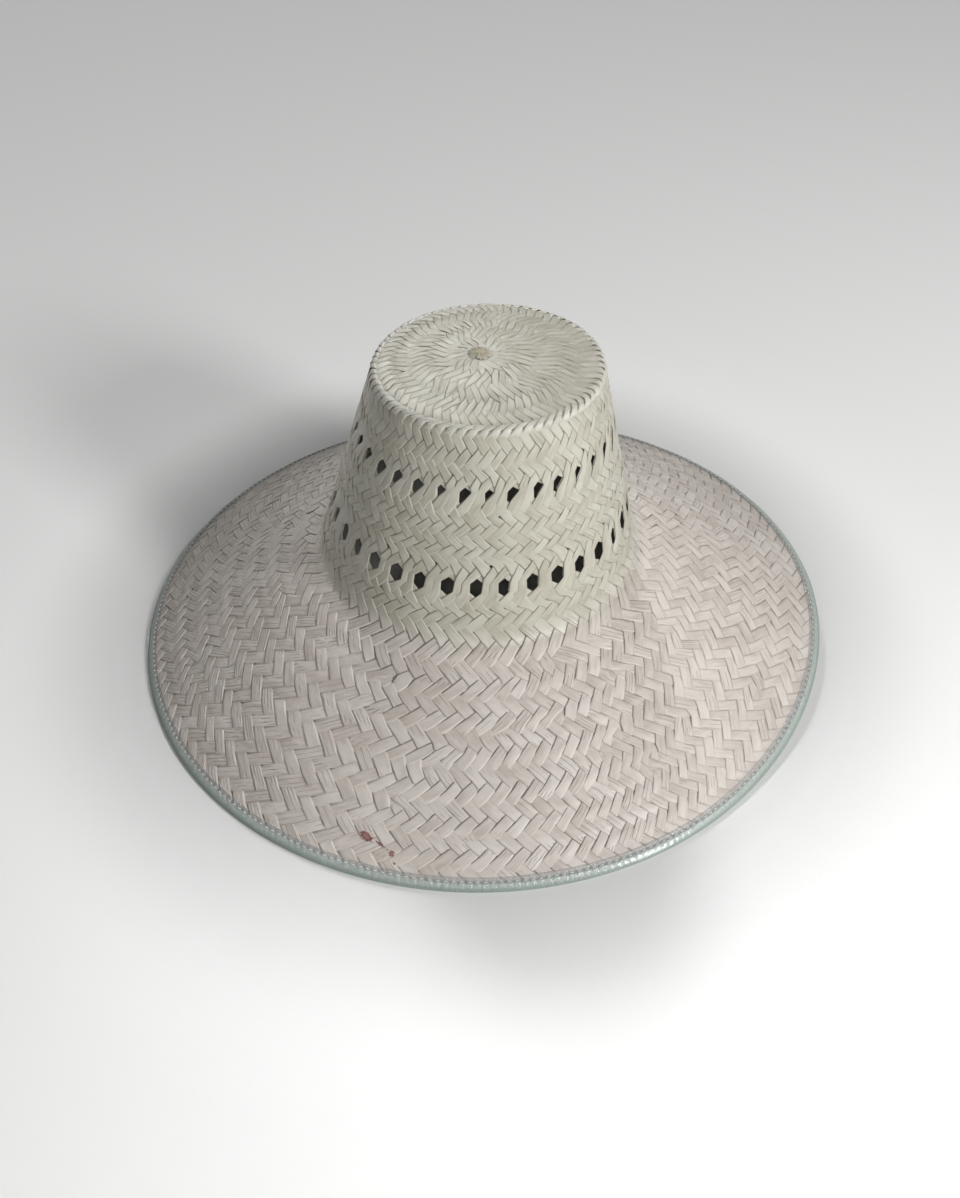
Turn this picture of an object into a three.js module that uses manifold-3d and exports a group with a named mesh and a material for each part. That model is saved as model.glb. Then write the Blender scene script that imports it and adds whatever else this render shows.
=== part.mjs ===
// A wide-brimmed pilgrim hat, woven in one piece from split palm leaf, with a clear tape
// folded over its rim. Millimetres, Z up. Z = 0 is the surface that the hat rests on, and
// the front of the hat faces -Y.

import * as THREE from 'three';
import { mergeVertices } from 'three/addons/utils/BufferGeometryUtils.js';
import Module from 'manifold-3d';

// Straw wall
const strawThickness = 1.5;
const gap = 0.3;

// Outer surface of the straw as a half section, from the crown's centre to the rim's end.
// round is the radius of the bend at that ring.
const rimEnd = { radius: 211, height: 1.9 };
const fold = { radius: 96, height: 69.5, round: 9 };
const crownEdge = { radius: 63.6, height: 188.6, round: 4 };

// Bands of ventilation holes, upright hexagons left open between the strands. The front vent
// of the upper band stands a quarter of the pitch round from the lower band's.
const ventsPerBand = 35;
const frontVent = -91.9;
const ventPitch = 360 / ventsPerBand;
const ventBands = [
  { name: 'upper', height: 153.3, width: 6.2, tall: 10.4, shoulder: 5.2, front: frontVent + ventPitch / 4 },
  { name: 'lower', height: 101.8, width: 7.4, tall: 11.4, shoulder: 6.0, front: frontVent },
];
const ventClearance = 1.6;
const ventCutDepth = 12;

// How the worn hat departs from a true round
const domeRise = 5.3;
const domeStart = 0.95;
const crownLean = 0.0487;
const crownTilt = 0.015;
const liftGrowth = 1.5;
const spreadPerLift = 0.5;

// The rim is lifted off the surface on the wearer's left, from rise to fall
const rimLift = { height: 12.5, angle: 8, before: 60, after: 104 };

// Clear tape folded over the rim, with a narrow flat where it bears on the surface
const tape = { thickness: 0.6, width: 7.2, flat: 1.2 };

// Knot of the strand ends, a little off the middle of the crown's top
const knot = { radius: 6.5, height: 1.5, right: -4, back: 1.5 };

// Facets round the hat: two for each vent, with a facet's middle at the lower front vent
const facets = ventsPerBand * 2;
const knotFacets = 24;
const topRings = 2;
const brimRings = 4;
const bendSteps = 2;

const point = (radius, height) => new THREE.Vector2(radius, height);

// Points of the arc that rounds a corner of the section
function roundedCorner(before, corner, after) {
  const middle = point(corner.radius, corner.height);
  const back = point(before.radius, before.height).sub(middle).normalize();
  const ahead = point(after.radius, after.height).sub(middle).normalize();
  const halfAngle = Math.acos(back.dot(ahead)) / 2;
  const reach = corner.round / Math.tan(halfAngle);
  const inwards = back.clone().add(ahead).normalize();
  const centre = inwards.multiplyScalar(corner.round / Math.sin(halfAngle)).add(middle);
  const start = back.clone().multiplyScalar(reach).add(middle).sub(centre);
  const end = ahead.clone().multiplyScalar(reach).add(middle).sub(centre);
  const turn = Math.atan2(start.cross(end), start.dot(end));
  return Array.from({ length: bendSteps + 1 }, (_, step) =>
    start.clone().rotateAround(point(0, 0), (turn * step) / bendSteps).add(centre));
}

// Radius of the crown's wall at a height
function wallRadius(height) {
  const share = (height - fold.height) / (crownEdge.height - fold.height);
  return THREE.MathUtils.lerp(fold.radius, crownEdge.radius, share);
}

// Outer surface from the crown's centre to the rim, with a ring above and below each vent band
function outerSection() {
  const top = Array.from({ length: topRings }, (_, ring) =>
    point((ring / topRings) * (crownEdge.radius - crownEdge.round), crownEdge.height));
  const wall = ventBands.flatMap((band) => [1, -1].map((side) => {
    const height = band.height + side * (band.tall / 2 + ventClearance);
    return point(wallRadius(height), height);
  }));
  const foldBend = roundedCorner(crownEdge, fold, rimEnd);
  const brimStart = foldBend.at(-1);
  const brimEnd = point(rimEnd.radius, rimEnd.height);
  const brim = Array.from({ length: brimRings }, (_, ring) =>
    brimStart.clone().lerp(brimEnd, (ring + 1) / brimRings));
  const edgeBend = roundedCorner({ radius: 0, height: crownEdge.height }, crownEdge, fold);
  return [...top, ...edgeBend, ...wall, ...foldBend, ...brim];
}

// The same section moved inwards by the straw's thickness, square to each stretch
function innerSection(outer) {
  const square = (from, to) => {
    const along = to.clone().sub(from).normalize();
    return point(-along.y, along.x);
  };
  return outer.map((here, index) => {
    const into = index > 0 ? square(outer[index - 1], here) : null;
    const out = index < outer.length - 1 ? square(here, outer[index + 1]) : null;
    const first = into ?? out;
    const second = out ?? into;
    const mitre = first.clone().add(second).normalize();
    const inner = here.clone().addScaledVector(mitre, -strawThickness / mitre.dot(first));
    return index === 0 ? point(0, inner.y) : inner;
  });
}

// Height that the rim is lifted at an angle round the hat
function liftAt(angle) {
  const away = angle - rimLift.angle;
  const share = away / (away < 0 ? rimLift.before : rimLift.after);
  return Math.abs(share) < 1 ? rimLift.height * Math.cos((share * Math.PI) / 2) ** 2 : 0;
}

// Moves a point of the true round hat to where the worn hat has it
function settle(position) {
  const radius = Math.hypot(position.x, position.y);
  const angle = THREE.MathUtils.radToDeg(Math.atan2(position.y, position.x));
  const outwards = Math.max(radius - fold.radius, 0) / (rimEnd.radius - fold.radius);
  const upwards = Math.max(position.z - fold.height, 0) / (crownEdge.height - fold.height);
  const lift = liftAt(angle) * outwards ** liftGrowth;
  const spread = 1 + (spreadPerLift * lift) / Math.max(radius, 1);
  const inCrown = Math.min(radius / crownEdge.radius, 1);
  const dome = upwards > domeStart ? domeRise * (1 - inCrown * inCrown) : 0;
  const lean = crownLean * upwards * (crownEdge.height - fold.height);
  position.z += lift + dome + crownTilt * position.x * upwards;
  position.x = position.x * spread + lean;
  position.y *= spread;
}

// Geometry with shared corners only, and no triangle that has collapsed on the axis
function closedGeometry(geometry) {
  geometry.deleteAttribute('normal');
  geometry.deleteAttribute('uv');
  const merged = mergeVertices(geometry, 1e-4);
  const index = merged.index.array;
  const kept = [];
  for (let i = 0; i < index.length; i += 3) {
    const [a, b, c] = index.slice(i, i + 3);
    if (a !== b && b !== c && c !== a) kept.push(a, b, c);
  }
  merged.setIndex(kept);
  return merged;
}

// Section turned round the Z axis. The section runs anticlockwise seen with +Z up and the
// radius to the right, and starts and ends on the axis or closes on itself.
function revolve(section, sides = facets) {
  const geometry = new THREE.LatheGeometry(section, sides, Math.PI / sides);
  geometry.rotateX(Math.PI / 2);
  geometry.rotateZ(THREE.MathUtils.degToRad(frontVent + 90));
  return closedGeometry(geometry);
}

const wasm = await Module();
wasm.setup();

function toSolid(geometry) {
  return new wasm.Manifold(new wasm.Mesh({
    numProp: 3,
    vertProperties: new Float32Array(geometry.attributes.position.array),
    triVerts: new Uint32Array(geometry.index.array),
  }));
}

function toGeometry(solid) {
  const mesh = solid.getMesh();
  const geometry = new THREE.BufferGeometry();
  geometry.setAttribute('position', new THREE.BufferAttribute(mesh.vertProperties, 3));
  geometry.setIndex([...mesh.triVerts]);
  return geometry;
}

// One hexagonal cutter, square to the crown's wall
function ventCutter(band, angle) {
  const half = band.width / 2;
  const side = band.shoulder / 2;
  const tip = band.tall / 2;
  const outline = [[0, -tip], [half, -side], [half, side], [0, tip], [-half, side], [-half, -side]];
  const hexagon = new THREE.Shape(outline.map(([across, up]) => point(across, up)));
  const geometry = new THREE.ExtrudeGeometry(hexagon, { depth: ventCutDepth, bevelEnabled: false });
  geometry.translate(0, 0, -ventCutDepth / 2);
  const slope = Math.atan2(fold.radius - crownEdge.radius, crownEdge.height - fold.height);
  geometry.rotateX(Math.PI / 2 - slope);
  geometry.rotateZ(angle + Math.PI / 2);
  const radius = wallRadius(band.height);
  geometry.translate(radius * Math.cos(angle), radius * Math.sin(angle), band.height);
  return toSolid(closedGeometry(geometry));
}

// Crown and brim: one woven wall, with its two bands of vents cut through
function crownAndBrim() {
  const outer = outerSection();
  const inner = innerSection(outer);
  let solid = toSolid(revolve([...inner, ...outer.toReversed()]));
  for (const band of ventBands) {
    for (let vent = 0; vent < ventsPerBand; vent += 1) {
      const angle = THREE.MathUtils.degToRad(band.front + vent * ventPitch);
      solid = solid.subtract(ventCutter(band, angle));
    }
  }
  return toGeometry(solid);
}

// Tape: a channel section over the rim's end, laid out along and square to the brim
function edgeBinding() {
  const along = point(rimEnd.radius - fold.radius, rimEnd.height - fold.height).normalize();
  const square = point(-along.y, along.x);
  const top = gap;
  const under = -strawThickness - gap;
  const web = gap + tape.thickness;
  const sole = under - tape.thickness;
  const soleBack = web - tape.flat * along.x;
  const soleUp = sole - tape.flat * along.y;
  const corners = [
    { out: -tape.width, up: top },
    { out: gap, up: top },
    { out: gap, up: under },
    { out: -tape.width, up: under },
    { out: -tape.width, up: sole },
    { out: soleBack, up: sole },
    { out: web, up: soleUp },
    { out: web, up: 0 },
    { out: web * 0.8, up: top + tape.thickness * 0.6 },
    { out: gap, up: top + tape.thickness },
    { out: -tape.width, up: top + tape.thickness },
    { out: -tape.width, up: top },
  ];
  return revolve(corners.map(({ out, up }) =>
    point(rimEnd.radius, rimEnd.height).addScaledVector(along, out).addScaledVector(square, up)));
}

// Knot: a low button on top of the crown
function centreKnot() {
  const seat = crownEdge.height + gap;
  const button = [
    { out: 0, up: 0 },
    { out: 0.95, up: 0 },
    { out: 1, up: 0.35 },
    { out: 0.75, up: 0.8 },
    { out: 0.4, up: 0.95 },
    { out: 0, up: 1 },
  ];
  const section = button.map(({ out, up }) => point(out * knot.radius, seat + up * knot.height));
  return revolve(section, knotFacets).translate(knot.right, knot.back, 0);
}

function piece(name, geometry, material) {
  const position = geometry.attributes.position;
  const corner = new THREE.Vector3();
  for (let i = 0; i < position.count; i += 1) {
    corner.fromBufferAttribute(position, i);
    settle(corner);
    position.setXYZ(i, corner.x, corner.y, corner.z);
  }
  geometry.computeVertexNormals();
  const mesh = new THREE.Mesh(geometry, material);
  mesh.name = name;
  return mesh;
}

const palm = new THREE.MeshStandardMaterial({ color: 0xcfc7b4, roughness: 0.62, metalness: 0 });
const darkPalm = new THREE.MeshStandardMaterial({ color: 0xb3a385, roughness: 0.7, metalness: 0 });
const clearTape = new THREE.MeshStandardMaterial({ color: 0xb9c4b4, roughness: 0.22, metalness: 0 });

const hat = new THREE.Group();
hat.add(piece('crown_and_brim', crownAndBrim(), palm));
hat.add(piece('centre_knot', centreKnot(), darkPalm));
hat.add(piece('edge_binding', edgeBinding(), clearTape));

// The hat stands on Z = 0, with the middle of its outer box over the origin
const outerBox = new THREE.Box3().setFromObject(hat, true);
const middle = outerBox.getCenter(new THREE.Vector3());
hat.position.set(-middle.x, -middle.y, -outerBox.min.z);

export default hat;
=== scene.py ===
# A woven palm pilgrim hat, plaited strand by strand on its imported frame. Lengths are in
# millimetres until a mesh is made, the front of the hat faces -Y, and Z = 0 is the floor.

import math
import random
from collections import namedtuple

import bpy
import numpy as np
from mathutils import Matrix, Vector


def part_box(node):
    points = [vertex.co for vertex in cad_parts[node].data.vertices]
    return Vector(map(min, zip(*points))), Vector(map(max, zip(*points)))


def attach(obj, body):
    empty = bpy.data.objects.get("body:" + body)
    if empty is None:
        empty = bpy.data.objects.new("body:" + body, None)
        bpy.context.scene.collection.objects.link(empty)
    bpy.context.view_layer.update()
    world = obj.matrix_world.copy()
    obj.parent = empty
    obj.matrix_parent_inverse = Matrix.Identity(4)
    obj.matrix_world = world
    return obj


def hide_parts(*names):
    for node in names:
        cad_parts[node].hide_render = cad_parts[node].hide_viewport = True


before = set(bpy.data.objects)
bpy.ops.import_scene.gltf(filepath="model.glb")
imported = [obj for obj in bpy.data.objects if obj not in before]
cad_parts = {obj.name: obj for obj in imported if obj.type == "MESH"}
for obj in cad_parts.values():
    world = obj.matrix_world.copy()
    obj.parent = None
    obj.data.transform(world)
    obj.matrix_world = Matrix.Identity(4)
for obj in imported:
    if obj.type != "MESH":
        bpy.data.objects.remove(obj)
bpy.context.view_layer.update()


# The block
# A hat like this is plaited over a wooden block and pressed on it, so every strand follows one form:
# a half section turned round an upright axis. The worn hat has a domed, leaning crown, and its rim is
# lifted on the wearer's left.
MILLIMETRE = 0.001
FULL_TURN = 2 * math.pi
straw_thickness = 1.5
Corner = namedtuple("Corner", "radius height round")
crown_edge = Corner(63.6, 188.6, 4.0)
fold = Corner(96.0, 69.5, 9.0)
rim_end = Corner(211.0, 1.9, 0.0)
wall_height = crown_edge.height - fold.height
wall_spread = fold.radius - crown_edge.radius
brim_drop = fold.height - rim_end.height
brim_spread = rim_end.radius - fold.radius
wall_tilt = math.atan2(wall_height, wall_spread)
brim_tilt = math.atan2(brim_drop, brim_spread)
edge_at = crown_edge.radius
fold_at = edge_at + math.hypot(wall_spread, wall_height)
rim_at = fold_at + math.hypot(brim_spread, brim_drop)
past_rim = 10
arc_points = 17
dome_rise = 5.3
dome_start = 0.95
crown_lean = 0.0487
crown_tilt = 0.015
lift_growth = 1.5
spread_per_lift = 0.5
rim_lift = {"height": 12.5, "angle": 8, "before": 60, "after": 104}


def bend(corner, at, before, after):
    """Distances, radii, heights and tilts along the arc that rounds a corner of the section."""
    sign = math.copysign(1, after - before)
    reach = corner.round * math.tan(abs(after - before) / 2)
    tilts = np.linspace(before, after, arc_points)
    across = np.sin(tilts) - math.sin(before)
    down = np.cos(tilts) - math.cos(before)
    radii = corner.radius - reach * math.cos(before) + sign * corner.round * across
    heights = corner.height + reach * math.sin(before) + sign * corner.round * down
    return np.array([np.linspace(at - reach, at + reach, arc_points), radii, heights, tilts])


half_section = np.hstack([
    [[0], [0], [crown_edge.height], [0]],
    bend(crown_edge, edge_at, 0, wall_tilt),
    bend(fold, fold_at, wall_tilt, brim_tilt),
    [[rim_at], [rim_end.radius], [rim_end.height], [brim_tilt]],
    [[rim_at + past_rim], [rim_end.radius + past_rim * math.cos(brim_tilt)],
     [rim_end.height - past_rim * math.sin(brim_tilt)], [brim_tilt]],
])

# The axis that the section is turned round, from the unlifted sides of the rim's faceted binding
front_vent_angle = math.radians(-91.9)
binding_reach = 211.955
binding_facets = 70
stood_up = 0.101
binding_corners = front_vent_angle + (np.arange(binding_facets) + 0.5) * FULL_TURN / binding_facets
binding_low = np.array(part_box("edge_binding")[0]) / MILLIMETRE
axis = np.array([
    binding_low[0] - binding_reach * np.cos(binding_corners).min(),
    binding_low[1] - binding_reach * np.sin(binding_corners).min(),
    stood_up,
])
knot_low, knot_high = (np.array(corner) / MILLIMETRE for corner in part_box("centre_knot"))
knot_middle = (knot_low + knot_high) / 2
knot_drift = knot_middle[:2] - axis[:2] - [crown_lean * wall_height, 0]


def lift_at(angle):
    """Height that the rim is lifted at angles round the hat, in radians."""
    away = (np.degrees(angle) - rim_lift["angle"] + 180) % 360 - 180
    share = away / np.where(away < 0, rim_lift["before"], rim_lift["after"])
    return np.where(np.abs(share) < 1, rim_lift["height"] * np.cos(share * np.pi / 2) ** 2, 0)


def on_form(along, angle, out):
    """Places at distances along the section from the crown's centre, raised by out from its face."""
    radius, height, tilt = (np.interp(along, half_section[0], row) for row in half_section[1:])
    radius = radius + out * np.sin(tilt)
    height = height + out * np.cos(tilt)
    outwards = np.maximum(radius - fold.radius, 0) / brim_spread
    upwards = np.maximum(height - fold.height, 0) / wall_height
    lift = lift_at(angle) * outwards ** lift_growth
    spread = radius + spread_per_lift * lift
    in_crown = np.minimum(radius / crown_edge.radius, 1)
    dome = np.where(upwards > dome_start, dome_rise * (1 - in_crown ** 2), 0)
    drift = (1 - in_crown) * (upwards > dome_start)
    x = spread * np.cos(angle)
    y = spread * np.sin(angle)
    z = height + lift + dome + crown_tilt * x * upwards
    x = x + crown_lean * upwards * wall_height + drift * knot_drift[0]
    y = y + drift * knot_drift[1]
    return np.stack([x, y, z], -1) + axis


# The plait
# One continuous twill of split palm leaf. Strands of two families cross on rings from the knot to the
# rim, and on each ring one family lies on top. New strands are laid in as the rings grow, and two rings
# are drawn together to leave vents.
Course = namedtuple("Course", "on_top rows middle")
courses = [
    Course("rising", 2, 12.5),
    Course("falling", 2, 24),
    Course("rising", 2, 36),
    Course("falling", 2, 47),
    Course("rising", 2, 57),
    Course("falling", 1, edge_at),
    Course("rising", 2, edge_at + 7.5),
    Course("falling", 2, edge_at + 16.3),
    Course("rising", 2, edge_at + 23.9),
    Course("falling", 3, edge_at + 36.7),
    Course("rising", 2, edge_at + 49.5),
    Course("falling", 2, edge_at + 56.5),
    Course("rising", 2, edge_at + 63),
    Course("falling", 2, edge_at + 69),
    Course("rising", 2, edge_at + 75),
    Course("falling", 3, edge_at + 90),
    Course("rising", 2, edge_at + 103.5),
    Course("falling", 2, edge_at + 110.5),
    Course("rising", 2, edge_at + 119.8),
    Course("falling", 2, fold_at + 7),
    Course("rising", 2, fold_at + 17.5),
    Course("falling", 2, fold_at + 27.4),
    Course("rising", 2, fold_at + 36.4),
    Course("falling", 2, fold_at + 45.2),
    Course("rising", 2, fold_at + 54.5),
    Course("falling", 2, fold_at + 64.2),
    Course("rising", 2, fold_at + 74),
    Course("falling", 2, fold_at + 83.7),
    Course("rising", 2, fold_at + 92.6),
    Course("falling", 2, fold_at + 101.1),
    Course("rising", 2, fold_at + 109.5),
    Course("falling", 2, fold_at + 118),
    Course("rising", 2, fold_at + 127),
]
edge_course = 5
upper_vent_course = 9
lower_vent_course = 15
last_wall_course = 18
first_row = [sum(course.rows for course in courses[:i]) for i in range(len(courses))]
course_rows = [start + (course.rows - 1) / 2 for start, course in zip(first_row, courses)]
row_count = sum(course.rows for course in courses)
row_at = np.interp(np.arange(row_count), course_rows, [course.middle for course in courses])
row_at[0] = 2 * row_at[1] - row_at[2]
row_at[-1] = 2 * row_at[-2] - row_at[-3]
row_on_top = [course.on_top for course in courses for _ in range(course.rows)]
edge_row = first_row[edge_course]
upper_vent_row = first_row[upper_vent_course] + 1
lower_vent_row = first_row[lower_vent_course] + 1
fold_rows = {"rising": first_row[last_wall_course + 1], "falling": first_row[last_wall_course] + 1}

# Strands of one family that cross each ring, from the crown's centre to the rim
Count = namedtuple("Count", "along strands")
counts = [
    Count(7, 16),
    Count(20, 28),
    Count(30, 46),
    Count(37, 60),
    Count(50, 69),
    Count(57, 70),
    Count(fold_at + 12, 70),
    Count(fold_at + 30, 86),
    Count(fold_at + 47, 98),
    Count(fold_at + 65, 104),
    Count(fold_at + 85, 115),
    Count(fold_at + 102, 126),
    Count(fold_at + 118, 130),
]
wall_strands = 70
vents = wall_strands // 2
vent_pitch = FULL_TURN / vents
front_vent = {lower_vent_row: front_vent_angle, upper_vent_row: front_vent_angle + vent_pitch / 4}
laid_in_at = (0.15, 0.85)
relaxing = 0.25
relaxing_passes = 6
plait_random = random.Random(21)


def strands_at(along):
    return round(float(np.interp(along, [c.along for c in counts], [c.strands for c in counts])))


def relaxed(angles):
    """Crossings of one ring after the strands have shifted towards even spacing."""
    for _ in range(relaxing_passes):
        before = np.roll(angles, 1)
        before[0] -= FULL_TURN
        after = np.roll(angles, -1)
        after[-1] += FULL_TURN
        angles = angles + relaxing * (before + after - 2 * angles)
    return angles


def regular_ring(row):
    """Crossings of a ring of the wall, in step with the vents."""
    start = front_vent[lower_vent_row] - vent_pitch / 4 - math.pi
    return start + (np.arange(wall_strands) + (row - lower_vent_row) / 2) * vent_pitch / 2


class Ring:
    """Crossings of one row: their angles, and the strand of each family at each."""

    def __init__(self, angles, rising, falling):
        self.angles, self.rising, self.falling = angles, rising, falling


def next_ring(ring, wanted, strands_made, begun, row):
    """The next row outwards: crossings between those of this row, and new strands in seeded gaps."""
    following = np.append(ring.angles[1:], ring.angles[0] + FULL_TURN)
    angles = list((ring.angles + following) / 2)
    rising = list(ring.rising)
    falling = ring.falling[1:] + ring.falling[:1]
    added = max(wanted - len(angles), 0)
    gaps = {int((i + plait_random.uniform(*laid_in_at)) * len(angles) / added) for i in range(added)}
    for gap in sorted(gaps, reverse=True):
        after = angles[gap + 1] if gap + 1 < len(angles) else angles[0] + FULL_TURN
        angles.insert(gap + 1, (angles[gap] + after) / 2)
        rising.insert(gap + 1, strands_made)
        falling.insert(gap + 1, strands_made)
        begun[strands_made] = row
        strands_made += 1
    return Ring(relaxed(np.array(angles)), rising, falling), strands_made


begun = {strand: 0 for strand in range(counts[0].strands)}
strands_made = counts[0].strands
start_angles = np.arange(strands_made) * FULL_TURN / strands_made
rings = [Ring(start_angles, list(range(strands_made)), list(range(strands_made)))]
for row in range(1, row_count):
    ring, strands_made = next_ring(rings[-1], strands_at(row_at[row]), strands_made, begun, row)
    rings.append(ring)
    if row == edge_row:
        turn = np.mean(regular_ring(row) - ring.angles)
        turn -= round(turn / (vent_pitch / 2)) * vent_pitch / 2
        for earlier in rings:
            earlier.angles = earlier.angles + turn
    if edge_row <= row < fold_rows["falling"]:
        steps = round(float(np.mean(ring.angles - regular_ring(row))) / (vent_pitch / 2))
        ring.angles = regular_ring(row) + steps * vent_pitch / 2

# How far the strands are drawn aside to leave a vent, on the wall. No two vents are quite alike.
Vent = namedtuple("Vent", "row side half_post tip shoulder beyond lean flare uneven pin_above pin_below")
vent_rows = [
    Vent(upper_vent_row, 2.5, 2.2, 7.9, 5.2, 11.6, 0.42, 0.24, 1.1, 0.5, 0.4),
    Vent(lower_vent_row, 2.8, 2.0, 8.8, 6.0, 13.2, 0.04, 0.04, 0.8, 1.0, 0.7),
]
rows_drawn = 2
post_overlap = 0.4
pin_spread = (-0.6, 1)
post_sides = {
    (vent.row, post, side): plait_random.uniform(-1, 1) * vent.uneven
    for vent in vent_rows for post in range(vents) for side in (-1, 1)
}
pin_holes = {
    (vent.row, post, way): plait_random.uniform(*pin_spread) * pin
    for vent in vent_rows for post in range(vents)
    for way, pin in ((-1, vent.pin_above), (1, vent.pin_below))
}


def ring_radius(along):
    return np.interp(along, half_section[0], half_section[1])


def knees_of(row, angle, pitch):
    """The points that a strand goes through where it crosses a row, most often one."""
    for vent in vent_rows:
        steps = row - vent.row
        if abs(steps) > rows_drawn:
            continue
        middle = row_at[vent.row]
        radius = ring_radius(middle)
        turns = (angle - front_vent[vent.row]) / vent_pitch
        column = front_vent[vent.row] + round(turns) * vent_pitch
        aside = angle - column
        side = 1 if aside > 0 else -1
        post = math.floor(turns) % vents
        if steps == 0:
            drawn = vent.half_post + post_sides[vent.row, post, side] / 2
            reached = []
            for way in (-1, 0, 1):
                half = drawn * (1 + vent.flare * way)
                beside = side * (vent_pitch / 2 - half / radius)
                leant = column + beside - way * vent.lean * vent.side / radius
                reached.append((leant, middle + way * vent.side, 2 * half + post_overlap))
            return reached
        way = 1 if steps > 0 else -1
        if abs(steps) == 1:
            on_vent = abs(aside) < vent_pitch / 4
            return [(angle, middle + way * (vent.tip if on_vent else vent.shoulder), pitch)]
        pin = pin_holes[vent.row, post, way]
        return [(angle - side * pin / radius, middle + way * vent.beyond, pitch - max(pin, 0))]
    return [(angle, row_at[row], pitch)]


# Strand cross sections
# Each strand is a strip of leaf: a flat face with softened edges. It bows over two crossings and dips
# under the next two. Every strip is traced without a break from the ring where it was laid in.
leaf_width = 6.0
leaf_thickness = 0.42
FacePoint = namedtuple("FacePoint", "share drop")
face = [
    FacePoint(-1.0, -0.1),
    FacePoint(-0.7, 0.0),
    FacePoint(0.7, 0.0),
    FacePoint(1.0, -0.1),
    FacePoint(0.97, -leaf_thickness),
    FacePoint(-0.97, -leaf_thickness),
]
face_shares = np.array([point.share for point in face])
face_ends = [[0, 1, 2, 5], [2, 3, 4, 5]]
weave_depth = 0.28
bow = 0.28
dip_sharpness = 1.5
samples_between = 4
samples_on_vent = 2
fill = (1.0, 1.055)
width_steps = (-0.11, -0.05, -0.01, 0.04, 0.08)
width_stray = 0.02
waver = 0.02
waver_pace = 0.23
waver_phases = 6
leaf_tilt = 0.18
stray = 0.22
sunk_start = 0.45
tucked_step = 0.8
tucked_width = 0.8
nearest_centre = 3.0
least_radius = 2.0
end_inset = 0.7

# The crown's top is pressed flat, its edge stands up as a ridge, and the brim is worn loose at the sides
top_pressed = 0.3
pressed_short = 4
pressed_run = 8
ridge_rise = 0.85
ridge_uneven = 0.2
ridge_half_length = 4.8
ridge_fullness = 0.7
ridge_narrowing = 0.24
ridge_rounding = 1.6
worn_loose = 0.06
worn_evenly = 0.35
worn_run = 20
brim_tone_run = 16
strip_random = random.Random(8)


def trace(family, strand):
    """Knees of one strand: angle, distance along, ring width, tilt, row."""
    knees = []
    last_angle = None
    for row in range(begun[strand], row_count):
        ring = rings[row]
        index = getattr(ring, family).index(strand)
        angle = ring.angles[index]
        after = ring.angles[index + 1] if index + 1 < len(ring.angles) else ring.angles[0] + FULL_TURN
        before = ring.angles[index - 1] - (FULL_TURN if index == 0 else 0)
        pitch = (after - before) / 2 * ring_radius(row_at[row])
        if last_angle is not None:
            angle += round((last_angle - angle) / FULL_TURN) * FULL_TURN
        tilt = strip_random.uniform(-1, 1)
        fuller = strip_random.choice(width_steps) + strip_random.uniform(-width_stray, width_stray)
        strayed = strip_random.uniform(-stray, stray) / max(ring_radius(row_at[row]), leaf_width)
        for crossing, along, width in knees_of(row, angle, pitch):
            knees.append((crossing + strayed, along, width * (1 + fuller), tilt, row))
        last_angle = angle
    first, second = knees[0], knees[1]
    tucked = [a - (b - a) * tucked_step for a, b in zip(first[:2], second[:2])]
    start_row = first[4] - tucked_step
    start = (tucked[0], max(tucked[1], nearest_centre), first[2] * tucked_width, 0, start_row)
    last, before_last = knees[-1], knees[-2]
    share = (rim_at - end_inset - last[1]) / (last[1] - before_last[1])
    end_angle = last[0] + (last[0] - before_last[0]) * share
    end = (end_angle, rim_at - end_inset, last[2], 0, last[4] + share)
    return np.array([start, *knees, end])


def strip_samples(knees):
    """Knees filled in with evenly spaced points between them."""
    parts = []
    for knee, following in zip(knees, knees[1:]):
        steps = samples_on_vent if knee[4] == following[4] else samples_between
        parts.append(knee + (following - knee) * (np.arange(steps) / steps)[:, None])
    parts.append(knees[-1][None])
    return np.vstack(parts)


def level_at(family, first, rows):
    """1 where a strand is on top and -1 where it is under, with a short slope between."""
    on_top = np.array([1.0 if name == family else -1.0 for name in row_on_top] + [0.0, 0.0])
    on_top[max(first - 1, 0)] = -1.0
    rows = np.clip(rows, 0, row_count)
    below = np.floor(rows).astype(int)
    level, following = on_top[below], on_top[np.minimum(below + 1, row_count)]
    dip = level * np.clip(dip_sharpness * np.cos(np.pi * (rows - below)), -1, 1)
    bowed = level * (1 + bow * np.sin(np.pi * (rows - below)))
    return np.where(level == following, bowed, dip)


Strips = namedtuple("Strips", "points faces across tones")


class Bundle:
    """Strips, fibres or threads gathered one by one for one mesh."""

    def __init__(self):
        self.points, self.faces, self.across, self.tones = [], [], [], []
        self.made = 0

    def add(self, sections, ends, across, along, tones):
        """One closed strip: its cross sections, its first end's faces, and what its finish reads."""
        count, sides = sections.shape[:2]
        start = self.made + np.arange(count - 1)[:, None] * sides
        side = np.arange(sides)
        beside = (side + 1) % sides
        corners = [start + side + sides, start + beside + sides, start + beside, start + side]
        self.faces += np.stack(corners, -1).reshape(-1, 4).tolist()
        last_start = self.made + (count - 1) * sides
        self.faces += [[self.made + i for i in end] for end in ends]
        self.faces += [[last_start + i for i in reversed(end)] for end in ends]
        self.points.append(sections.reshape(-1, 3))
        self.across.append(np.column_stack([np.tile(across, count), np.repeat(along, sides)]))
        self.tones.append(np.repeat(np.broadcast_to(tones, (count, 4)), sides, axis=0))
        self.made += count * sides

    def strips(self):
        return Strips(np.vstack(self.points), self.faces, np.vstack(self.across), np.vstack(self.tones))


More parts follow.
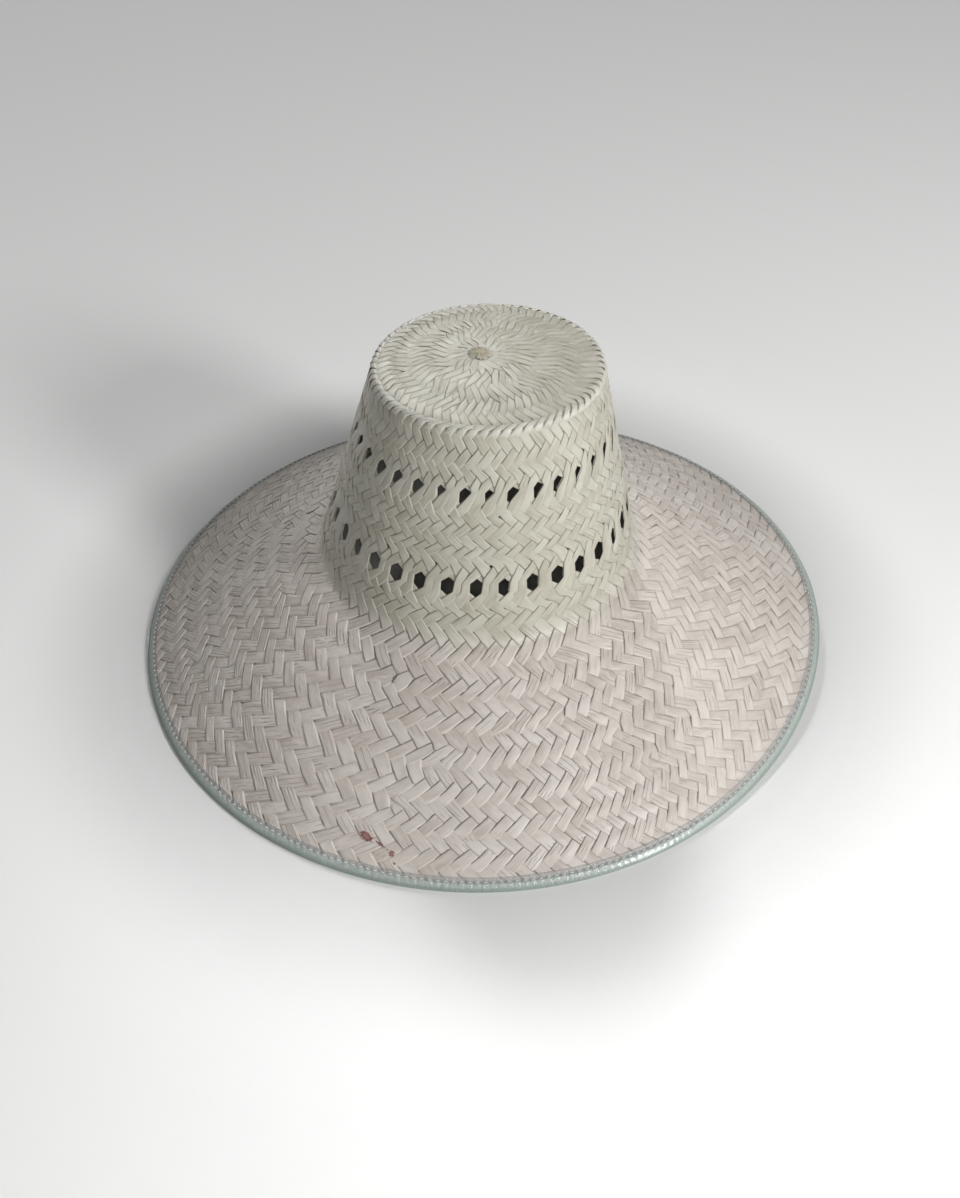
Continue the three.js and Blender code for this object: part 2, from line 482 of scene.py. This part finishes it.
def make_strips(family, crown):
    """Every strand's stretch on the crown, or on the brim."""
    bundle = Bundle()
    fold_row = fold_rows[family]
    across_rows = 0.5 if family == "rising" else -0.5
    for strand in range(strands_made):
        strip_random.seed(f"{family} {strand}")
        tone = strip_random.random()
        seed = strip_random.random()
        filled = strip_random.uniform(*fill)
        wander = strip_random.uniform(-1, 1)
        line = strip_samples(trace(family, strand))
        steps = np.hypot(np.diff(line[:, 1]), np.diff(line[:, 0]) * ring_radius(line[1:, 1]))
        travelled = np.append(0, np.cumsum(steps))
        kept = line[:, 4] <= fold_row if crown else line[:, 4] >= fold_row
        if kept.sum() < 2:
            continue
        angle, along, width, tilt, row = line[kept].T
        radius = np.maximum(ring_radius(along), least_radius)
        near_edge = np.clip(1 - np.abs(along - edge_at) / ridge_half_length, 0, 1)
        on_ridge = (family == "falling") * near_edge ** ridge_fullness
        on_brim = np.clip((along - fold_at) / worn_run, 0, 1)
        worn = worn_loose * (np.abs(np.cos(angle)) - worn_evenly) * on_brim
        half = width * (filled - worn) / 2
        half = half * (1 + waver * np.sin(along * waver_pace + waver_phases * wander))
        half = half * (1 - ridge_narrowing * on_ridge)
        ridge = ridge_rise * (1 + ridge_uneven * wander) * on_ridge
        sunk = sunk_start * np.clip(begun[strand] - row, 0, 1)
        pressed = 1 - top_pressed * np.clip((edge_at - pressed_short - along) / pressed_run, 0, 1)
        section = []
        for share, drop in face:
            level = level_at(family, begun[strand], row + share * across_rows)
            out = weave_depth * pressed * level + ridge - sunk - straw_thickness / 2 + leaf_thickness / 2
            drop = drop * (1 + ridge_rounding * on_ridge * (drop > -leaf_thickness))
            out = out + drop + leaf_tilt * pressed * tilt * share
            section.append(on_form(along, angle + share * half / radius, out))
        zone = np.clip((along - fold_at + brim_tone_run / 2) / brim_tone_run, 0, 1)
        same = np.ones(len(along))
        tones = np.column_stack([tone * same, seed * same, zone, on_ridge])
        bundle.add(np.stack(section, 1), face_ends, face_shares * leaf_width / 2, travelled[kept], tones)
    return bundle.strips()


def lay_mesh(name, strips, material):
    """One mesh object, with the strand coordinates and tones that its finish reads."""
    mesh = bpy.data.meshes.new(name)
    mesh.from_pydata((strips.points * MILLIMETRE).tolist(), [], strips.faces)
    corner = np.zeros(len(mesh.loops), np.int32)
    mesh.loops.foreach_get("vertex_index", corner)
    layer = mesh.uv_layers.new(name="strand")
    layer.data.foreach_set("uv", strips.across[corner].astype(np.float32).ravel())
    tones = mesh.color_attributes.new("strand_tone", "FLOAT_COLOR", "POINT")
    tones.data.foreach_set("color", strips.tones.astype(np.float32).ravel())
    mesh.shade_smooth()
    mesh.materials.append(material)
    piece = bpy.data.objects.new(name, mesh)
    bpy.context.scene.collection.objects.link(piece)
    return piece


# The palm leaf
# Split, bleached and pressed leaf: long fibres, a soft satin face, tones that change from strand to
# strand, and here and there a strand that has split or dried into ribs. Splits, rib troughs and strand
# edges are painted darker as painted shade, and the crown's edge ridge and rib crests paler as painted
# highlight. The crown is darker and greener than the brim, partly its own tone and partly painted shade
# of its upright wall. The brim's far left has more splits, ribs and threads, partly drier leaf and
# partly painted shade. The brim is a little warmer than the crown, and has a few dried spots of ink.
class Value:
    """A socket of a finish, on which sums can be written."""

    def __init__(self, finish, socket):
        self.finish, self.socket = finish, socket

    def worked(self, operation, *values):
        return self.finish.node("ShaderNodeMath", {"operation": operation}, dict(enumerate(values)))

    def __add__(self, other):
        return self.worked("ADD", self, other)

    def __sub__(self, other):
        return self.worked("SUBTRACT", self, other)

    def __rsub__(self, other):
        return self.worked("SUBTRACT", other, self)

    def __mul__(self, other):
        return self.worked("MULTIPLY", self, other)

    __radd__ = __add__
    __rmul__ = __mul__

    def size(self):
        return self.worked("ABSOLUTE", self)

    def fraction(self):
        return self.worked("FRACT", self)

    def rising(self, low, high):
        """0 below low, 1 above high, and a smooth step between."""
        step = {"interpolation_type": "SMOOTHSTEP"}
        return self.finish.node("ShaderNodeMapRange", step, {0: self, 1: low, 2: high})


class Finish:
    """A material under construction."""

    def __init__(self, name):
        self.material = bpy.data.materials.new(name)
        self.material.use_nodes = True
        self.tree = self.material.node_tree
        self.tree.nodes.clear()

    def node(self, kind, settings=None, sockets=None, output=0):
        made = self.tree.nodes.new(kind)
        for name, setting in (settings or {}).items():
            setattr(made, name, setting)
        for name, value in (sockets or {}).items():
            if isinstance(value, Value):
                self.tree.links.new(value.socket, made.inputs[name])
            else:
                made.inputs[name].default_value = value
        return Value(self, made.outputs[output]) if made.outputs else None

    def outputs(self, value):
        """Every output of the node that a value comes from."""
        return [Value(self, socket) for socket in value.socket.node.outputs]

    def blend(self, share, first, second):
        """One colour going over to another."""
        colours = {"Factor": share, "A": first, "B": second}
        made = self.tree.nodes.new("ShaderNodeMix")
        made.data_type = "RGBA"
        for socket in made.inputs:
            if socket.enabled and socket.name in colours:
                value = colours[socket.name]
                if isinstance(value, Value):
                    self.tree.links.new(value.socket, socket)
                else:
                    socket.default_value = value if socket.name == "Factor" else (*value, 1)
        return Value(self, next(socket for socket in made.outputs if socket.enabled))

    def vector(self, operation, sockets, output=0):
        return self.node("ShaderNodeVectorMath", {"operation": operation}, sockets, output)

    def join(self, x, y, z):
        return self.node("ShaderNodeCombineXYZ", None, {0: x, 1: y, 2: z})

    def noise(self, place, detail=2.0, roughness=0.5):
        sockets = {"Vector": place, "Scale": 1.0, "Detail": detail, "Roughness": roughness}
        return self.node("ShaderNodeTexNoise", None, sockets)

    def grained(self, grain, across, along, seed):
        """Noise that is drawn out along a strand, and differs from strand to strand."""
        place = self.join(across * grain.across, along * grain.along, seed * grain.apart)
        return self.noise(place, grain.detail, grain.roughness)

    def strand_place(self):
        """Millimetres across and along a strand."""
        strand = self.node("ShaderNodeUVMap", {"uv_map": "strand"})
        return self.outputs(self.node("ShaderNodeSeparateXYZ", None, {0: strand}))[:2]

    def strand_tones(self):
        """The four numbers that each point of a strand carries."""
        tones = self.node("ShaderNodeAttribute", {"attribute_name": "strand_tone"})
        first_three = self.outputs(self.node("ShaderNodeSeparateColor", None, {0: tones}))[:3]
        return first_three + [self.outputs(tones)[3]]

    def patched(self, patches, along, seed):
        """Noise that changes only along a strand."""
        return self.noise(self.join(seed * patches.apart, along * patches.along, patches.layer), 1)

    def own_place(self):
        """The place on the hat, in metres."""
        return self.node("ShaderNodeTexCoord", output="Object")

    def bump(self, height, strength, metres):
        sockets = {"Strength": strength, "Distance": metres, "Height": height}
        return self.node("ShaderNodeBump", None, sockets)

    def surface(self, sockets):
        shader = self.node("ShaderNodeBsdfPrincipled", None, sockets)
        self.node("ShaderNodeOutputMaterial", None, {"Surface": shader})
        return self.material


Grain = namedtuple("Grain", "across along apart detail roughness")
fibre_grain = Grain(2.6, 0.07, 61, 3, 0.6)
thread_grain = Grain(8, 0.22, 37, 2, 0.5)
mottle_grain = Grain(0.3, 0.08, 83, 2, 0.5)
Patches = namedtuple("Patches", "apart along layer")
split_patches = Patches(47, 0.05, 0.5)
rib_patches = Patches(29, 0.08, 4.5)
splits_per_millimetre = 0.42
split_shift = 9
split_gap = (0.02, 0.07)
split_above = (0.66, 0.7)
crown_splits = 0.03
brim_splits = 0.09
ribs_per_millimetre = 0.62
rib_shift = 7
ribs_above = (0.67, 0.72)
rib_trough = (0.55, 0.95)
rib_crest = (0.1, 0.6)
# The brim's far left gets more splits, ribs and fine threads: partly drier leaf, partly painted shade of
# that side.
dry_shaded_left_run = (-0.16, -0.03)
dry_shaded_left_adds = {"splits": 0.16, "ribs": 0.14, "threads": 0.8}
# Strand edges are painted darker over this run from the middle: painted shade between neighbouring
# strands.
shaded_edge_run = (leaf_width * 0.42, leaf_width * 0.5)
shade = {"least": 0.05, "tone": 0.38, "fibres": 0.7, "mottle": 1.1}
thread_shade = {"everywhere": 0.3, "on brim": 0.4}
shade_range = (-0.2, 0.9)
cover = {"ridge": 0.5, "split": 0.6, "trough": 0.38, "crest": 0.3, "edge": 0.14, "ink": 0.95}
relief = {"fibres": 0.6, "threads": 0.5, "split": 0.9, "rib": 1.1}
# The crown's colours are darker and greener than the brim's: partly the leaf's own tone, partly painted
# shade of the upright wall.
crown_pale_shaded = (0.585, 0.57, 0.49)
crown_deep_shaded = (0.395, 0.37, 0.29)
brim_pale = (0.77, 0.72, 0.665)
brim_deep = (0.53, 0.465, 0.41)
# A pale colour painted on the crown's edge ridge and on rib crests: painted highlight.
ridge_and_crest_highlight = (0.86, 0.85, 0.78)
# A dark brown painted into splits and rib troughs: painted shade in the cracks and hollows.
split_and_trough_shade = (0.13, 0.1, 0.07)
# A brown painted along strand edges: painted shade.
edge_shade_brown = (0.29, 0.235, 0.18)
ink_red = (0.19, 0.018, 0.022)
ink_grain = 1100.0
ink_ragged = 1.4
ink_edge = (0.68, 1.0)
ink_ring = (0.3, 0.75)
ink_in_middle = 0.72
Blot = namedtuple("Blot", "angle slant length width turn")
blots = [
    Blot(-108.1, 112.6, 8.6, 3.9, -18),
    Blot(-105.5, 115.0, 6.6, 1.5, -23),
    Blot(-104.3, 116.9, 1.2, 1.0, 0),
    Blot(-103.5, 118.4, 3.3, 3.0, -22),
    Blot(-102.8, 123.1, 1.8, 1.2, -26),
]


def blot_mask(finish, blot):
    """1 inside a dried spot of ink on the brim, and 0 outside it."""
    middle = Vector(on_form(fold_at + blot.slant, math.radians(blot.angle), 0) * MILLIMETRE)
    place = finish.own_place()
    away = finish.vector("SUBTRACT", {0: place, 1: middle})
    azimuth = math.radians(blot.angle + 90 + blot.turn)
    half_length, half_width = blot.length * MILLIMETRE / 2, blot.width * MILLIMETRE / 2
    lengthwise = Vector((math.cos(azimuth), math.sin(azimuth), 0)) / half_length
    crosswise = Vector((-math.sin(azimuth), math.cos(azimuth), 0)) / half_width
    lengths = finish.vector("DOT_PRODUCT", {0: away, 1: lengthwise}, "Value")
    widths = finish.vector("DOT_PRODUCT", {0: away, 1: crosswise}, "Value")
    reach = finish.vector("LENGTH", {0: finish.join(lengths, widths, 0.0)}, "Value")
    ragged = finish.noise(finish.vector("SCALE", {0: place, "Scale": ink_grain}))
    inside = 1 - (reach + (ragged - 0.5) * ink_ragged).rising(*ink_edge)
    return inside * (ink_in_middle + reach.rising(*ink_ring) * (1 - ink_in_middle))


def palm_leaf(name, split_share, spots=()):
    finish = Finish(name)
    across, along = finish.strand_place()
    tone, seed, zone, on_ridge = finish.strand_tones()
    rightwards = finish.outputs(finish.node("ShaderNodeSeparateXYZ", None, {0: finish.own_place()}))[0]
    # The brim's far left: partly drier leaf, partly painted shade.
    dry_shaded_left = (1 - rightwards.rising(*dry_shaded_left_run)) * zone

    fibres = finish.grained(fibre_grain, across, along, seed)
    threads = finish.grained(thread_grain, across, along, seed)
    mottle = finish.grained(mottle_grain, across, along, seed)
    lane = (across * splits_per_millimetre + seed * split_shift).fraction()
    parting = finish.patched(split_patches, along, seed) + dry_shaded_left * dry_shaded_left_adds["splits"]
    parted = parting.rising(split_above[0] - split_share, split_above[1] - split_share)
    split = (1 - (lane - 0.5).size().rising(*split_gap)) * parted
    shrivelled = finish.patched(rib_patches, along, seed) + dry_shaded_left * dry_shaded_left_adds["ribs"]
    ribbed = shrivelled.rising(*ribs_above) * zone
    rib = ((across * ribs_per_millimetre + seed * rib_shift).fraction() - 0.5).size() * 2
    trough = ribbed * rib.rising(*rib_trough)
    crest = ribbed * (1 - rib.rising(*rib_crest))
    shaded_edge = across.size().rising(*shaded_edge_run)

    fineness = thread_shade["everywhere"] + zone * thread_shade["on brim"] + dry_shaded_left * dry_shaded_left_adds["threads"]
    depth = tone * shade["tone"] + (fibres - 0.5) * shade["fibres"] + (threads - 0.5) * fineness
    depth = depth + (mottle - 0.5) * shade["mottle"] + shade["least"]
    deepened = depth.rising(*shade_range)
    on_crown = finish.blend(deepened, crown_pale_shaded, crown_deep_shaded)
    on_brim = finish.blend(deepened, brim_pale, brim_deep)
    colour = finish.blend(zone, on_crown, on_brim)
    # Painted highlight on the crown's edge ridge.
    colour = finish.blend(on_ridge * cover["ridge"], colour, ridge_and_crest_highlight)
    # Painted shade in splits and in the troughs of dried ribs.
    colour = finish.blend(split * cover["split"], colour, split_and_trough_shade)
    colour = finish.blend(trough * cover["trough"], colour, split_and_trough_shade)
    # Painted highlight on the crests of dried ribs.
    colour = finish.blend(crest * cover["crest"], colour, ridge_and_crest_highlight)
    # Painted shade along both edges of every strand.
    colour = finish.blend(shaded_edge * cover["edge"], colour, edge_shade_brown)
    for spot in spots:
        colour = finish.blend(blot_mask(finish, spot) * cover["ink"], colour, ink_red)

    rise = fibres * relief["fibres"] + threads * relief["threads"]
    rise = rise - split * relief["split"] - ribbed * rib * relief["rib"]
    return finish.surface({
        "Base Color": colour,
        "Roughness": 0.31 + fibres * 0.2 + split * 0.2,
        "Normal": finish.bump(rise, strength=0.8, metres=0.00016),
        "Specular IOR Level": 0.5,
    })


crown_leaf = palm_leaf("palm_leaf_crown", crown_splits)
brim_leaf = palm_leaf("palm_leaf_brim", brim_splits, blots)

for family in ("rising", "falling"):
    for part, crown, leaf in (("crown", True, crown_leaf), ("brim", False, brim_leaf)):
        piece = lay_mesh(f"{part}_strands_{family}", make_strips(family, crown), leaf)
        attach(piece, "root")
        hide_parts("crown_and_brim")


# The centre knot
# The tan ends of the first strands, tied off and beaten flat where the plait starts. Short fibres fan
# out from the middle in two layers, with frayed tips that lie on the strands around them.
knot_reach = 7.4
knot_rise = 1.7
knot_rounding = 1.3
knot_sunk = 0.9
knot_hole = 0.25
knot_layers = [{"reach": 1, "turned": 0, "lift": 0}, {"reach": 0.82, "turned": 0.5, "lift": 0.18}]
knot_fibres = 46
fibre_steps = 8
fibre_reach = (0.8, 1.14)
fibre_width = (0.6, 0.95)
fibre_thickness = 0.28
fibre_rounding = 1.2
fibre_swirl = 0.25
fibre_stray = {"angle": 0.3, "swirl": 0.15, "lift": 0.12}
inner_width = 0.35
widening_run = 2.5
frayed_from = 0.9
frayed_width = 0.55
knot_tan = (0.6, 0.56, 0.44)
knot_brown = (0.35, 0.3, 0.2)
fray_grain = Grain(5, 0.5, 41, 2, 0.5)
brown_share = {"outwards": 0.5, "tone": 0.6, "fray": 1.1, "less": 0.05}
browned_between = (0.8, 3.4)
pale_between = (3.0, 5.8)
palest = 0.9
knot_random = random.Random(5)


def knot_fibre(angle, reach, swirl, width, lift):
    """Sections of one fibre from the middle outwards, and their radii."""
    travel = np.linspace(0, 1, fibre_steps)
    radius = knot_hole + (reach - knot_hole) * travel
    turned = angle + swirl * travel
    height = knot_rise * (1 - (radius / knot_reach) ** knot_rounding) - knot_sunk + lift
    half = width / 2 * np.minimum(inner_width + radius / widening_run, 1)
    half = half * np.where(travel > frayed_from, frayed_width, 1)
    middle = np.stack([radius * np.cos(turned), radius * np.sin(turned)], -1)
    cross = np.stack([-np.sin(turned), np.cos(turned)], -1)
    sections = []
    for share, drop in face:
        flat = middle + cross * (share * half)[:, None]
        level = height + (-fibre_thickness if drop == -leaf_thickness else drop * fibre_rounding)
        sections.append(np.column_stack([flat, level]))
    return np.stack(sections, 1), radius


def make_knot():
    bundle = Bundle()
    knot_top = np.array([knot_middle[0], knot_middle[1], knot_low[2]])

    def strayed(name):
        return knot_random.uniform(-fibre_stray[name], fibre_stray[name])

    for layer in knot_layers:
        for fibre in range(knot_fibres):
            angle = (fibre + layer["turned"] + strayed("angle")) * FULL_TURN / knot_fibres
            reach = knot_reach * knot_random.uniform(*fibre_reach) * layer["reach"]
            swirl = fibre_swirl + strayed("swirl")
            width = knot_random.uniform(*fibre_width)
            sections, radius = knot_fibre(angle, reach, swirl, width, layer["lift"] + strayed("lift"))
            tones = [knot_random.random(), knot_random.random(), 0, 1]
            bundle.add(sections + knot_top, [range(len(face))], face_shares * width / 2, radius, tones)
    return bundle.strips()


def knot_leaf():
    finish = Finish("knot_fibre")
    across, along = finish.strand_place()
    tone, seed = finish.strand_tones()[:2]
    fray = finish.grained(fray_grain, across, along, seed)
    browned = along.rising(*browned_between) * brown_share["outwards"] + tone * brown_share["tone"]
    browned = browned + (fray - 0.5) * brown_share["fray"] - brown_share["less"]
    tan = finish.blend(browned, knot_tan, knot_brown)
    return finish.surface({
        "Base Color": finish.blend(along.rising(*pale_between) * palest, tan, crown_pale_shaded),
        "Roughness": 0.62,
        "Normal": finish.bump(fray, strength=0.7, metres=0.00012),
        "Specular IOR Level": 0.3,
    })


knot = lay_mesh("knot_fibres", make_knot(), knot_leaf())
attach(knot, "root")
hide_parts("centre_knot")


# The edge binding
# Clear vinyl tape, folded over the rim and drawn down by a row of machine stitches near its inner edge.
# It is loose past the straw's cut ends, and the needle has puckered it at every stitch.
TapePoint = namedtuple("TapePoint", "outwards up")
tape_section = [
    TapePoint(-7.0, 0.3),
    TapePoint(-6.5, 0.42),
    TapePoint(-5.4, 0.36),
    TapePoint(-4.5, 0.3),
    TapePoint(-3.9, 0.66),
    TapePoint(-3.1, 0.64),
    TapePoint(-1.9, 0.42),
    TapePoint(-0.6, 0.18),
    TapePoint(0.35, -0.05),
    TapePoint(0.7, -0.45),
    TapePoint(0.65, -1.2),
    TapePoint(0.1, -1.9),
    TapePoint(-2.0, -2.1),
    TapePoint(-4.5, -1.95),
    TapePoint(-7.0, -1.95),
    TapePoint(-7.0, -1.65),
    TapePoint(-4.5, -1.65),
    TapePoint(-2.0, -1.8),
    TapePoint(0.0, -1.6),
    TapePoint(0.4, -1.1),
    TapePoint(0.42, -0.5),
    TapePoint(0.1, -0.25),
    TapePoint(-0.8, 0.0),
    TapePoint(-1.9, 0.16),
    TapePoint(-3.1, 0.34),
    TapePoint(-3.9, 0.32),
    TapePoint(-4.5, 0.0),
    TapePoint(-7.0, 0.03),
]
tape_top_above = -0.5
tape_inner_edge = -6.8
stitches = 311
stitch_steps = 6
stitch_line = -4.5
pucker = 0.45
pucker_inside = 0.9
pucker_outside = 2.4
pucker_shift = 0.35
edge_ripple = 0.16
top_ripple = 0.08
ripple_from = -5
slack_points = 90
haze_grain = Grain(0.9, 0.3, 0, 3, 0.6)
wrinkle_grain = Grain(0.6, 0.7, 3, 2, 0.5)
free_of_straw = (-5.2, -3.0)
at_fold_between = (-2.6, -0.2)
haze_between = (0.3, 0.7)
# Painted shade at the tape's fold, for the shaded underside seen through the clear vinyl.
fold_shade = 0.8
# Painted shade in the needle's dimples at each stitch.
dimple_shade = 0.6
vinyl_clear = (0.62, 0.63, 0.63)
vinyl_grey_green = (0.5, 0.57, 0.52)
vinyl_pale_green = (0.66, 0.72, 0.68)
vinyl_fold_shade = (0.3, 0.375, 0.33)
vinyl_dimple_shade = (0.14, 0.16, 0.15)
tape_random = np.random.default_rng(12)


def make_tape():
    """The tape's section, carried round the rim and drawn in at each stitch."""
    steps = stitches * stitch_steps
    sides = len(tape_section)
    angles = np.arange(steps) * FULL_TURN / steps
    drawn_in = np.maximum(-np.cos(angles * stitches), 0) ** 2
    slack_angles = np.linspace(0, FULL_TURN, slack_points)
    slack = np.interp(angles, slack_angles, tape_random.uniform(-1, 1, slack_points), period=FULL_TURN)
    lines = []
    dimples = []
    for outwards, up in tape_section:
        top = 1 if up > tape_top_above else -1
        past_line = outwards - stitch_line + pucker_shift
        reach = pucker_inside if outwards < stitch_line else pucker_outside
        level = up - top * pucker * drawn_in * math.exp(-(past_line / reach) ** 2)
        level = level + top_ripple * slack * (outwards > ripple_from and top > 0)
        rippled = edge_ripple * slack if outwards < tape_inner_edge else 0
        lines.append(on_form(np.full(steps, rim_at + outwards) + rippled, angles, level))
        dimples.append(drawn_in * math.exp(-(past_line / pucker_inside) ** 2))
    step = np.arange(steps)[:, None]
    start = step * sides
    after = (step + 1) % steps * sides
    side = np.arange(sides)
    beside = (side + 1) % sides
    faces = np.stack([start + side, after + side, after + beside, start + beside], -1).reshape(-1, 4)
    outwards_of = np.array([point.outwards for point in tape_section])
    across = np.column_stack([np.tile(outwards_of, steps), np.repeat(angles * rim_end.radius, sides)])
    tones = np.ones((steps * sides, 4))
    tones[:, 0] = np.stack(dimples, 1).ravel()
    return Strips(np.stack(lines, 1).reshape(-1, 3), faces.tolist(), across, tones)


def clear_vinyl():
    finish = Finish("clear_vinyl")
    outwards, round_rim = finish.strand_place()
    dimple = finish.strand_tones()[0]
    haze = finish.grained(haze_grain, outwards, round_rim, 1.0)
    wrinkles = finish.grained(wrinkle_grain, outwards, round_rim, 1.0)
    past_stitches = outwards.rising(*free_of_straw)
    at_fold = outwards.rising(*at_fold_between)
    grey_green = finish.blend(haze.rising(*haze_between), vinyl_grey_green, vinyl_pale_green)
    # Painted shade where the tape folds round the rim.
    grey_green = finish.blend(at_fold * fold_shade, grey_green, vinyl_fold_shade)
    colour = finish.blend(past_stitches, vinyl_clear, grey_green)
    return finish.surface({
        # Painted shade in the needle's dimples.
        "Base Color": finish.blend(dimple * dimple_shade, colour, vinyl_dimple_shade),
        "Roughness": 0.16 + haze * 0.14 + at_fold * 0.25,
        "Alpha": 0.25 + past_stitches * 0.55 + dimple * 0.3,
        "Normal": finish.bump(wrinkles, strength=0.9, metres=0.0006),
        "Specular IOR Level": 0.6,
        "Coat Weight": 0.6 - at_fold * 0.55,
        "Coat Roughness": 0.08,
    })


tape = lay_mesh("binding_tape", make_tape(), clear_vinyl())
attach(tape, "root")
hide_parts("edge_binding")

# The stitches, one tube for each length of thread that shows, above the brim and below it
Thread = namedtuple("Thread", "surface dip length")
thread_runs = [Thread(0.3, -1, 2.7), Thread(-1.95, 1, 2.7)]
thread_radius = 0.24
thread_sides = 6
thread_steps = 7
thread_slant = 0.12
thread_pull = 0.75
thread_raised = 0.12
thread_end = {"from": 0.9, "width": 0.6}
thread_white = (0.78, 0.82, 0.8, 1)


def make_stitches():
    bundle = Bundle()
    turns = np.arange(thread_sides) * FULL_TURN / thread_sides
    travel = np.linspace(-1, 1, thread_steps)
    thick = thread_radius * np.where(np.abs(travel) > thread_end["from"], thread_end["width"], 1)
    for run in thread_runs:
        centre = run.surface + run.dip * (thread_pull * np.abs(travel) ** 3 - thread_raised)
        for stitch in range(stitches):
            slant = tape_random.uniform(-thread_slant, thread_slant)
            line = rim_at + stitch_line + slant * travel
            middle = stitch * FULL_TURN / stitches
            angles = middle + travel * run.length / 2 / (rim_end.radius + stitch_line)
            rounds = [
                on_form(line + thick * math.cos(turn), angles, centre + thick * math.sin(turn))
                for turn in turns
            ]
            tones = [tape_random.random(), 0, 1, 1]
            bundle.add(np.stack(rounds, 1), [range(thread_sides)], turns, travel, tones)
    return bundle.strips()


thread = Finish("thread").surface({
    "Base Color": thread_white,
    "Roughness": 0.2,
    "Specular IOR Level": 0.6,
})
stitching = lay_mesh("binding_stitches", make_stitches(), thread)
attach(stitching, "root")
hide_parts("edge_binding")


# The stage
# A pale floor with a painted glow away from the hat, which fades out near it and leaves painted shade
# round and under the hat, and soft studio light. The main light is at the front right, a broad one in
# front fills the shade, and a weak one behind picks out the crown's edge.
half_floor = 4.0
floor_corners = [(x * half_floor, y * half_floor, 0) for x, y in ((-1, -1), (1, -1), (1, 1), (-1, 1))]
floor_white = (0.88, 0.88, 0.87, 1)
# The floor glows as a painted glow from these radii outwards, and not at all nearer the hat, which
# leaves painted shade round and under it.
glow_from = 0.2
glow_full_at = 0.31
floor_glow = 0.3
world_strength = 0.1
Lamp = namedtuple("Lamp", "name azimuth elevation distance size power spread")
lamps = [
    Lamp("key_light", -42, 25, 1.7, 0.35, 19.5, 180),
    Lamp("front_light", -75, 46, 1.9, 1.5, 6, 180),
    Lamp("back_light", 101, 40, 1.3, 0.35, 0.24, 20),
]
aim = Vector((0, 0, 0.15))


def glowing_floor():
    finish = Finish("glowing_floor")
    from_hat = finish.vector("LENGTH", {0: finish.own_place()}, "Value")
    return finish.surface({
        "Base Color": floor_white,
        "Roughness": 0.9,
        # Painted glow that fades out near the hat: painted shade round and under it.
        "Emission Color": finish.blend(from_hat.rising(glow_from, glow_full_at), (0, 0, 0), (1, 1, 1)),
        "Emission Strength": floor_glow,
    })


floor_mesh = bpy.data.meshes.new("floor")
floor_mesh.from_pydata(floor_corners, [], [(0, 1, 2, 3)])
floor_mesh.materials.append(glowing_floor())
floor = bpy.data.objects.new("floor", floor_mesh)
bpy.context.scene.collection.objects.link(floor)

world = bpy.data.worlds.new("studio")
bpy.context.scene.world = world
world.use_nodes = True
world.node_tree.nodes["Background"].inputs["Color"].default_value = (1, 1, 1, 1)
world.node_tree.nodes["Background"].inputs["Strength"].default_value = world_strength
bpy.context.scene.view_settings.view_transform = "Standard"

for lamp in lamps:
    light = bpy.data.lights.new(lamp.name, "AREA")
    light.size = lamp.size
    light.energy = lamp.power
    light.spread = math.radians(lamp.spread)
    azimuth, elevation = math.radians(lamp.azimuth), math.radians(lamp.elevation)
    level = math.cos(elevation)
    away = Vector((level * math.cos(azimuth), level * math.sin(azimuth), math.sin(elevation)))
    holder = bpy.data.objects.new(lamp.name, light)
    holder.location = aim + away * lamp.distance
    holder.rotation_euler = away.to_track_quat("Z", "Y").to_euler()
    bpy.context.scene.collection.objects.link(holder)

# The camera stands in front of the hat and looks down at it, as a person does at a hat on a low table
photo_height = 1198
focal_pixels = 1154.7
sensor_width = 36
camera_back = 0.5408
camera_up = 0.5284
pitch = math.radians(43.75)
yaw = 0.0022
roll = -0.0018
camera = bpy.data.objects.new("camera", bpy.data.cameras.new("camera"))
camera.data.sensor_width = sensor_width
camera.data.lens = sensor_width * focal_pixels / photo_height
camera.location = (axis[0] * MILLIMETRE, -camera_back, camera_up)
forward = Vector((math.sin(yaw) * math.cos(pitch), math.cos(yaw) * math.cos(pitch), -math.sin(pitch)))
rightwards = Vector((math.cos(yaw), -math.sin(yaw), 0))
upwards = rightwards.cross(forward)
facing = Matrix((rightwards, upwards, -forward)).transposed()
camera.rotation_euler = (facing @ Matrix.Rotation(roll, 3, "Z")).to_euler()
bpy.context.scene.collection.objects.link(camera)
bpy.context.scene.camera = camera
